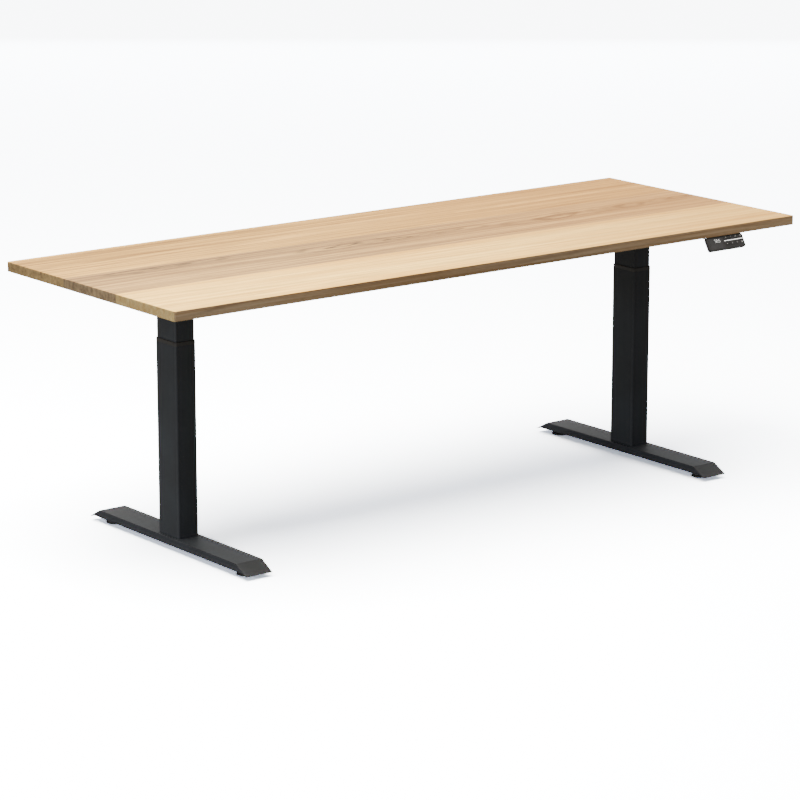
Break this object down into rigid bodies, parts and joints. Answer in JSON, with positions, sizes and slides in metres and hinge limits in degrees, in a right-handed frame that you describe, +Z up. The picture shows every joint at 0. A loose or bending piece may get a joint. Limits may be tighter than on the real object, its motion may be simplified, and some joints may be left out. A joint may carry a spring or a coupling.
{
  "type": "standing desk",
  "caption": "Height-adjustable standing desk: long wood top on two motor-driven telescopic legs with T-shaped feet and a control panel under the front edge.",
  "frame": {"origin": "on the floor under the middle of the whole outline", "axes": "+Z up, +X along the desk to the user's right, the user sits at -Y"},
  "size_m": [2, 0.7655, 0.7],
  "materials": {
    "oak_top": "clear satin lacquer on solid hardwood boards",
    "black_frame": "fine matt black powder coat",
    "plain_steel": "turned, lightly greased",
    "motor_steel": "plated motor can",
    "zinc_fasteners": "zinc plated",
    "black_plastic": "moulded, fine spark texture",
    "panel_plastic": "fine satin texture",
    "window_gloss": "polished smoked window",
    "strip_diffuser": "white diffuser",
    "key_plastic": "satin key caps with white symbols",
    "board": "solder mask",
    "lead_sheath": "matt cable sheath"
  },
  "bodies": {
    "left_base": {"left_foot": "black_frame", "left_foot_bolts": "zinc_fasteners", "left_outer_tube": "black_frame", "left_outer_collar": "black_plastic", "left_pedestal_tube": "plain_steel", "left_lower_nut": "black_plastic"},
    "left_front_glide": {"left_front_glide": "black_plastic"},
    "left_rear_glide": {"left_rear_glide": "black_plastic"},
    "left_middle": {"left_middle_tube": "black_frame", "left_middle_collar": "black_plastic", "left_middle_slider": "black_plastic", "left_carrier_tube": "plain_steel"},
    "left_hollow_screw": {"left_hollow_screw": "plain_steel"},
    "left_drive_screw": {"left_drive_screw": "plain_steel"},
    "right_base": {"right_foot": "black_frame", "right_foot_bolts": "zinc_fasteners", "right_outer_tube": "black_frame", "right_outer_collar": "black_plastic", "right_pedestal_tube": "plain_steel", "right_lower_nut": "black_plastic"},
    "right_front_glide": {"right_front_glide": "black_plastic"},
    "right_rear_glide": {"right_rear_glide": "black_plastic"},
    "right_middle": {"right_middle_tube": "black_frame", "right_middle_collar": "black_plastic", "right_middle_slider": "black_plastic", "right_carrier_tube": "plain_steel"},
    "right_hollow_screw": {"right_hollow_screw": "plain_steel"},
    "right_drive_screw": {"right_drive_screw": "plain_steel"},
    "key_down": {"key_down": "key_plastic"},
    "key_lock": {"key_lock": "key_plastic"},
    "key_memory_1": {"key_memory_1": "key_plastic"},
    "key_memory_2": {"key_memory_2": "key_plastic"},
    "key_memory_3": {"key_memory_3": "key_plastic"},
    "key_memory_4": {"key_memory_4": "key_plastic"},
    "key_timer": {"key_timer": "key_plastic"},
    "key_up": {"key_up": "key_plastic"},
    "top": {"cable_clips": "black_plastic", "control_box_case": "black_plastic", "control_box_lid": "black_plastic", "display_window": "window_gloss", "frame_bolts": "zinc_fasteners", "front_rail": "black_frame", "handset_board": "board", "handset_case": "panel_plastic", "handset_face": "panel_plastic", "handset_lead": "lead_sheath", "inner_sliders": "black_plastic", "left_inner_tube": "black_frame", "left_motor": "motor_steel", "left_side_bracket": "black_frame", "light_strip": "strip_diffuser", "motor_leads": "lead_sheath", "power_inlet": "black_plastic", "rear_rail": "black_frame", "right_inner_tube": "black_frame", "right_motor": "motor_steel", "right_side_bracket": "black_frame", "tabletop": "oak_top", "tabletop_screws": "zinc_fasteners"}
  },
  "joints": [
    {"name": "left_middle_lift", "type": "slide", "parent": "left_base", "child": "left_middle", "axis": [0, 0, 1], "range_m": [-0.0375, 0.2875]},
    {"name": "top_lift", "type": "slide", "parent": "left_middle", "child": "top", "axis": [0, 0, 1], "range_m": [-0.0375, 0.2875]},
    {"name": "right_middle_lift", "type": "slide", "parent": "top", "child": "right_middle", "axis": [0, 0, -1], "range_m": [-0.0375, 0.2875]},
    {"name": "right_base_lift", "type": "slide", "parent": "right_middle", "child": "right_base", "axis": [0, 0, -1], "range_m": [-0.0375, 0.2875]},
    {"name": "left_hollow_screw_turn", "type": "hinge", "parent": "left_middle", "child": "left_hollow_screw", "pos_m": [-0.751, 0.00291, 0.45], "axis": [0, 0, 1], "range_deg": [-845, 6470]},
    {"name": "left_drive_screw_turn", "type": "hinge", "parent": "top", "child": "left_drive_screw", "pos_m": [-0.751, 0.00291, 0.45], "axis": [0, 0, 1], "range_deg": [-1690, 12940]},
    {"name": "left_front_glide_screw", "type": "slide", "parent": "left_base", "child": "left_front_glide", "axis": [0, 0, -1], "range_m": [0, 0.01]},
    {"name": "left_rear_glide_screw", "type": "slide", "parent": "left_base", "child": "left_rear_glide", "axis": [0, 0, -1], "range_m": [0, 0.01]},
    {"name": "right_hollow_screw_turn", "type": "hinge", "parent": "right_middle", "child": "right_hollow_screw", "pos_m": [0.751, 0.00291, 0.45], "axis": [0, 0, 1], "range_deg": [-845, 6470]},
    {"name": "right_drive_screw_turn", "type": "hinge", "parent": "top", "child": "right_drive_screw", "pos_m": [0.751, 0.00291, 0.45], "axis": [0, 0, 1], "range_deg": [-1690, 12940]},
    {"name": "right_front_glide_screw", "type": "slide", "parent": "right_base", "child": "right_front_glide", "axis": [0, 0, -1], "range_m": [0, 0.01]},
    {"name": "right_rear_glide_screw", "type": "slide", "parent": "right_base", "child": "right_rear_glide", "axis": [0, 0, -1], "range_m": [0, 0.01]},
    {"name": "key_down_press", "type": "slide", "parent": "top", "child": "key_down", "axis": [0, 0.8572, -0.515], "range_m": [0, 0.0008], "stiffness_N_per_m": 1500},
    {"name": "key_lock_press", "type": "slide", "parent": "top", "child": "key_lock", "axis": [0, 0.8572, -0.515], "range_m": [0, 0.0008], "stiffness_N_per_m": 1500},
    {"name": "key_memory_1_press", "type": "slide", "parent": "top", "child": "key_memory_1", "axis": [0, 0.8572, -0.515], "range_m": [0, 0.0008], "stiffness_N_per_m": 1500},
    {"name": "key_memory_2_press", "type": "slide", "parent": "top", "child": "key_memory_2", "axis": [0, 0.8572, -0.515], "range_m": [0, 0.0008], "stiffness_N_per_m": 1500},
    {"name": "key_memory_3_press", "type": "slide", "parent": "top", "child": "key_memory_3", "axis": [0, 0.8572, -0.515], "range_m": [0, 0.0008], "stiffness_N_per_m": 1500},
    {"name": "key_memory_4_press", "type": "slide", "parent": "top", "child": "key_memory_4", "axis": [0, 0.8572, -0.515], "range_m": [0, 0.0008], "stiffness_N_per_m": 1500},
    {"name": "key_timer_press", "type": "slide", "parent": "top", "child": "key_timer", "axis": [0, 0.8572, -0.515], "range_m": [0, 0.0008], "stiffness_N_per_m": 1500},
    {"name": "key_up_press", "type": "slide", "parent": "top", "child": "key_up", "axis": [0, 0.8572, -0.515], "range_m": [0, 0.0008], "stiffness_N_per_m": 1500}
  ],
  "couplings": [
    {"joint": "left_middle_lift", "follows": "top_lift", "ratio": 1},
    {"joint": "right_middle_lift", "follows": "top_lift", "ratio": 1},
    {"joint": "right_base_lift", "follows": "top_lift", "ratio": 1},
    {"joint": "left_hollow_screw_turn", "follows": "top_lift", "rad_per_m": 392.7},
    {"joint": "left_drive_screw_turn", "follows": "top_lift", "rad_per_m": 785.4},
    {"joint": "right_hollow_screw_turn", "follows": "top_lift", "rad_per_m": 392.7},
    {"joint": "right_drive_screw_turn", "follows": "top_lift", "rad_per_m": 785.4}
  ]
}
